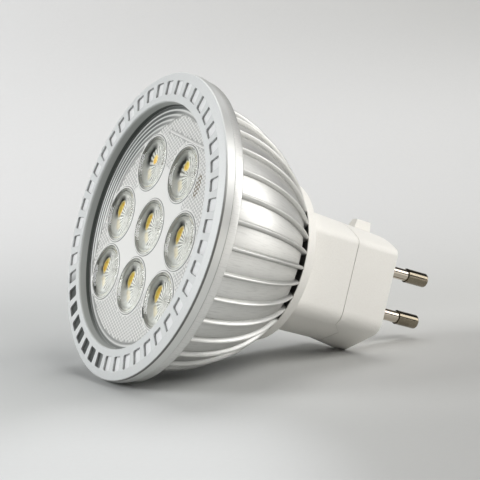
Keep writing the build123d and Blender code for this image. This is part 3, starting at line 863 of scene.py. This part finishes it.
# marks for the materials: how far each spot stands up in its relief, and its place within its own lens and
# next to the painted reflection of the chip there
def markRelief(build):
    shape = lensShape
    names = ("relief", "lensX", "lensY", "chipReach", "chipTurn")
    relief, lensX, lensY, chipReach, chipTurn = [build.verts.layers.float.new(name) for name in names]
    topSpots = sorted(lensSpots, key=lambda place: place[1])[-2:]
    topSpots.sort(reverse=True)
    for vert in build.verts:
        x, y, depth = vert.co
        spot = min(lensSpots, key=lambda place: (x - place[0]) ** 2 + (y - place[1]) ** 2)
        vert[lensX] = x - spot[0]
        vert[lensY] = y - spot[1]
        reach = math.hypot(x - spot[0], y - spot[1])
        turn = math.degrees(math.atan2(y - spot[1], x - spot[0]))
        image = shape["topImages"][topSpots.index(spot)] if spot in topSpots else shape["chipImage"]
        vert[chipReach] = (reach - image["reach"]) / image["halfReach"]
        vert[chipTurn] = (turn - image["turn"]) / image["halfTurn"]
        if reach < shape["dishRadius"] - shape["dishEdge"]:
            vert[relief] = 1
        elif reach < shape["lensRadius"] - shape["lensEdge"]:
            vert[relief] = max(1 - ((reach - middle) / half) ** 2 for middle, half, _ in shape["ridges"])
        else:
            smooth = reach < shape["lensRadius"] + shape["lensEdge"] or insideWeb(x, y)
            height = shape["beadHeight"] if math.hypot(x, y) < ringStart(x, y) else shape["ringHeight"]
            vert[relief] = 1 if smooth else (shape["front"] - depth) / height


def makeLensPlate():
    shape = lensShape
    build = bmesh.new()
    plateFiller(build, shape["front"], chordRelief() + ringRelief() + beadRelief(), plateSlot["front"])
    plateFiller(build, shape["back"], [], plateSlot["web"])
    edges = [levelRow((0, 0), shape["radius"], shape["rimCount"], shape[key]) for key in ("front", "back")]
    skin(build, edges, slot=plateSlot["clear"])
    for spot in lensSpots:
        lensFront(build, spot)
        lensCone(build, spot)
    markRelief(build)
    plate = addPiece("mouldedLenses", build, plateFinishes.values(), shape["sharp"])
    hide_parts("lens_plate")
    return plate


# ribbed bowl: soft ribs that blend into the panels, cut open between their rear ends
bowlShape = {
    "ribs": 34, "phase": 3.0, "stations": 34, "ribHeight": 0.9, "ribHalf": 0.55, "ribPower": 1.6,
    "ribSteps": 14, "panelSteps": 12, "sharp": 42,
    "pocketRadius": 26.4, "landStart": 1.05, "landRadius": 30.75, "flangeStart": 2.5, "flangeRadius": 31.4,
    "flangeEnd": 4.65, "flangeEdge": 0.3, "edgeSteps": 3,
    "bowlRadius": 28.4, "bowlEnd": 29.63, "endRadius": 17.16,
    "ventStart": 27.88, "ventShare": 0.42, "ventRows": (0, 0.35, 0.7, 1),
    "hubRadius": 13.9, "hubBore": 12.5, "hubStart": 26.63,
    "seatRadius": 17.5, "seatEnd": 16.2, "seat": 13.2, "chamberRadius": 24.3, "ledge": 4.2,
}


# the bowl's arc from flange to base, moved inwards by the inset
def bowlReach(depth, inset):
    shape = bowlShape
    fall = shape["bowlRadius"] - shape["endRadius"]
    arc = ((shape["bowlEnd"] - shape["flangeEnd"]) ** 2 + fall ** 2) / (2 * fall)
    return shape["bowlRadius"] - arc + math.sqrt((arc - inset) ** 2 - (depth - shape["flangeEnd"]) ** 2)


# turns round the axis for one row of the bowl, each with the share of a rib's height that stands there
def ribTurns(depth):
    shape = bowlShape
    half = shape["ribHalf"] * shape["ribs"] / (2 * math.pi * bowlReach(depth, 0))
    marks = []
    for step in range(shape["ribSteps"] + 1):
        turn = math.pi * (step / shape["ribSteps"] - 0.5)
        marks.append((half * math.sin(turn), max(0.0, math.cos(turn)) ** shape["ribPower"]))
    for step in range(1, shape["panelSteps"]):
        marks.append((half + (1 - 2 * half) * step / shape["panelSteps"], 0.0))
    start = math.radians(shape["phase"])
    turns = []
    for rib in range(shape["ribs"]):
        turns += [(start + 2 * math.pi * (rib + place) / shape["ribs"], lift) for place, lift in marks]
    return turns


def plainRow(radius, depth):
    nearest = min(max(depth, bowlShape["flangeEnd"]), bowlShape["bowlEnd"])
    return [(radius * math.cos(turn), radius * math.sin(turn), depth) for turn, _ in ribTurns(nearest)]


def ribbedRow(depth, vent):
    row = []
    for turn, lift in ribTurns(depth):
        radius = bowlReach(depth, bowlShape["ribHeight"] * (1 - lift))
        if vent and lift < bowlShape["ventShare"]:
            radius = bowlShape["hubRadius"]
        row.append((radius * math.cos(turn), radius * math.sin(turn), depth))
    return row


def makeBowl():
    shape = bowlShape
    edge = shape["flangeEdge"]
    outline = [
        (shape["pocketRadius"], shape["landStart"]), (shape["landRadius"], shape["landStart"]),
        (shape["landRadius"], shape["flangeStart"]), (shape["flangeRadius"] - edge, shape["flangeStart"]),
        (shape["flangeRadius"], shape["flangeStart"] + edge),
    ]
    for step in range(shape["edgeSteps"] + 1):
        turn = math.radians(90 * step / shape["edgeSteps"])
        radius = shape["flangeRadius"] - edge + edge * math.cos(turn)
        outline.append((radius, shape["flangeEnd"] - edge + edge * math.sin(turn)))
    inside = [
        (shape["hubRadius"], shape["bowlEnd"]), (shape["hubBore"], shape["bowlEnd"]),
        (shape["hubBore"], shape["hubStart"]), (shape["seatRadius"], shape["seatEnd"]),
        (shape["seatRadius"], shape["seat"]), (shape["chamberRadius"], shape["seat"]),
        (shape["chamberRadius"], shape["ledge"]), (shape["pocketRadius"], shape["ledge"]),
    ]
    rows = [plainRow(radius, depth) for radius, depth in outline]
    for step in range(shape["stations"] + 1):
        depth = shape["flangeEnd"] + (shape["ventStart"] - shape["flangeEnd"]) * step / shape["stations"]
        rows.append(ribbedRow(depth, False))
    for share in shape["ventRows"]:
        rows.append(ribbedRow(shape["ventStart"] + (shape["bowlEnd"] - shape["ventStart"]) * share, True))
    rows += [plainRow(radius, depth) for radius, depth in inside]
    build = bmesh.new()
    skin(build, rows, closed=True)
    bowl = addPiece("ribbedBowl", build, (bowlSilver,), shape["sharp"])
    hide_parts("heat_sink")
    return bowl


lensPlate = makeLensPlate()
ribbedBowl = makeBowl()
print("lens plate faces", len(lensPlate.data.polygons), "bowl faces", len(ribbedBowl.data.polygons))

# pale table that sweeps up into the backdrop, in metres; along is away from the camera and side to its right
stageLook = {
    "front": -1.2, "half": 0.45, "gloss": 0.7,
    "bend": 0.09, "bendRadius": 0.26, "bendEnd": 66.0, "bendSteps": 12,
    # the floor and backdrop colours carry painted shade: the floor darker to the right and lighter further
    # back there, the backdrop darker to the right and near its top
    "floorLeft": (0.54, 0.55, 0.545), "floorRight": (0.42, 0.42, 0.41), "floorSide": (-0.04, 0.04),
    "floorBack": (0.56, 0.56, 0.545), "backAlong": (-0.07, 0.05),
    # painted pool of light on the floor near the front, a little to the left
    "paintedLightPool": (0.70, 0.71, 0.71), "poolSide": -0.03, "poolAlong": -0.1,
    "poolHalfSide": 0.045, "poolHalfAlong": 0.07,
    "bounce": (0.95, 0.935, 0.90), "bounceSlope": 0.162, "bounceSide": (0.062, 0.085),
    "wallLeft": (0.735, 0.735, 0.735), "wallRight": (0.61, 0.61, 0.605), "wallSide": (-0.1, 0.1),
    "wallAlong": (0.07, 0.2),
    "topLeft": (0.68, 0.68, 0.68), "topRight": (0.465, 0.465, 0.455), "topHeight": (0.035, 0.095),
    "flag": (0.2, 0.2, 0.2), "flagSide": (0.13, 0.18),
    "grainSize": 1.2, "patchSize": 40.0, "grainShade": 0.985,
}
ahead = Vector((0.49, 0.8665, 0)).normalized()
rightward = Vector((ahead.y, -ahead.x, 0))
skyward = Vector((0, 0, 1))


def makeCard():
    look = stageLook
    material, tree, shader = newMaterial("paleCard", Roughness=look["gloss"])
    place = addNode(tree, "ShaderNodeTexCoord").outputs["Object"]
    along, side, height = [alongDir(tree, place, direction) for direction in (ahead, rightward, skyward)]
    # painted shade: the floor darker to the right and lighter further back
    right = mixColour(tree, mapRange(tree, along, *look["backAlong"]), look["floorRight"], look["floorBack"])
    floor = mixColour(tree, softMask(tree, side, look["floorSide"]), look["floorLeft"], right)
    # painted pool of light on the floor
    aside = maths(tree, "DIVIDE", maths(tree, "SUBTRACT", side, look["poolSide"]), look["poolHalfSide"])
    before = maths(tree, "DIVIDE", maths(tree, "SUBTRACT", along, look["poolAlong"]), look["poolHalfAlong"])
    paintedLightPool = mapRange(tree, squareSum(tree, aside, before), 1.0, 0.0, smooth=True)
    floor = mixColour(tree, paintedLightPool, floor, look["paintedLightPool"])
    beyond = maths(tree, "SUBTRACT", side, product(tree, along, look["bounceSlope"]))
    floor = mixColour(tree, softMask(tree, beyond, look["bounceSide"]), floor, look["bounce"])
    # painted shade: the backdrop darker to the right and near its top
    wallSide = mapRange(tree, side, *look["wallSide"])
    wall = mixColour(tree, wallSide, look["wallLeft"], look["wallRight"])
    top = mixColour(tree, wallSide, look["topLeft"], look["topRight"])
    wall = mixColour(tree, softMask(tree, height, look["topHeight"]), wall, top)
    wall = mixColour(tree, softMask(tree, side, look["flagSide"]), wall, look["flag"])
    colour = mixColour(tree, softMask(tree, along, look["wallAlong"]), floor, wall)
    grains = useGroup(tree, fleck, size=look["grainSize"], patch=look["patchSize"])
    shade = mapRange(tree, grains["grain"], 0.0, 1.0, look["grainShade"], 1.0)
    setInputs(tree, shader, {"Base Color": mixColour(tree, 1.0, colour, shade, "MULTIPLY")})
    return material


def makeSweep():
    look = stageLook
    profile = [(look["front"], 0.0), (look["bend"], 0.0)]
    for step in range(1, look["bendSteps"] + 1):
        turn = math.radians(look["bendEnd"] * step / look["bendSteps"])
        radius = look["bendRadius"]
        profile.append((look["bend"] + radius * math.sin(turn), radius * (1 - math.cos(turn))))
    verts = []
    for along, height in profile:
        for side in (-look["half"], look["half"]):
            verts.append(ahead * along + rightward * side + skyward * height)
    faces = [(2 * step, 2 * step + 1, 2 * step + 3, 2 * step + 2) for step in range(len(profile) - 1)]
    mesh = bpy.data.meshes.new("paleSweep")
    mesh.from_pydata(verts, [], faces)
    for polygon in mesh.polygons:
        polygon.use_smooth = True
    mesh.materials.append(makeCard())
    sweep = bpy.data.objects.new("paleSweep", mesh)
    scene.collection.objects.link(sweep)


# soft boxes, each placed by its turn to the right of the camera and its rise, in degrees
lightLook = {
    "right": {"turn": 90, "rise": 14, "size": (0.34, 0.5), "power": 1.7, "colour": (1.0, 0.99, 0.97)},
    "side": {"turn": 70, "rise": 50, "size": (0.4, 0.4), "power": 1.7, "colour": (1.0, 0.99, 0.97)},
    "left": {"turn": -84, "rise": 25, "size": (0.4, 0.4), "power": 4.0, "colour": (0.99, 1.0, 1.0)},
    "front": {"turn": 34, "rise": 40, "size": (0.4, 0.4), "power": 2.4, "colour": (1.0, 0.99, 0.97)},
    "back": {"turn": 160, "rise": 62, "size": (0.36, 0.36), "power": 2.3, "colour": (1.0, 1.0, 1.0)},
}
lightAim = {"middle": Vector((0.0, 0.0, 0.03)), "distance": 0.8}
roomLook = {"Color": (0.95, 0.97, 1.0, 1), "Strength": 0.06}


def makeLight(name, look):
    turn = math.radians(look["turn"])
    rise = math.radians(look["rise"])
    level = rightward * math.sin(turn) - ahead * math.cos(turn)
    data = bpy.data.lights.new(name, "AREA")
    data.shape = "RECTANGLE"
    data.size, data.size_y = look["size"]
    data.energy = look["power"]
    data.color = look["colour"]
    light = bpy.data.objects.new(name, data)
    away = level * math.cos(rise) + skyward * math.sin(rise)
    light.location = lightAim["middle"] + away * lightAim["distance"]
    light.rotation_euler = (-away).to_track_quat("-Z", "Y").to_euler()
    scene.collection.objects.link(light)


def makeRoom():
    room = bpy.data.worlds.new("softRoom")
    scene.world = room
    room.use_nodes = True
    setInputs(room.node_tree, room.node_tree.nodes["Background"], roomLook)


# camera at the photograph's low three-quarter angle, with its slight lean
cameraLook = {
    "place": (-0.158820, -0.268390, 0.056430),
    "right": (0.8672, -0.4954, -0.0497),
    "up": (0.0920, 0.0611, 0.9939),
    "lens": 111.64, "sensor": 36.0, "nearest": 0.01,
}


def makeCamera():
    data = bpy.data.cameras.new("photoView")
    data.lens = cameraLook["lens"]
    data.sensor_width = cameraLook["sensor"]
    data.clip_start = cameraLook["nearest"]
    camera = bpy.data.objects.new("photoView", data)
    scene.collection.objects.link(camera)
    rightDir = Vector(cameraLook["right"]).normalized()
    backDir = rightDir.cross(Vector(cameraLook["up"])).normalized()
    topDir = backDir.cross(rightDir)
    turn = Matrix((rightDir, topDir, backDir)).transposed().to_4x4()
    camera.matrix_world = Matrix.Translation(cameraLook["place"]) @ turn
    scene.camera = camera


makeSweep()
for name, look in lightLook.items():
    makeLight(name, look)
makeRoom()
makeCamera()
scene.view_settings.view_transform = "Standard"
print("stage, light and camera set")
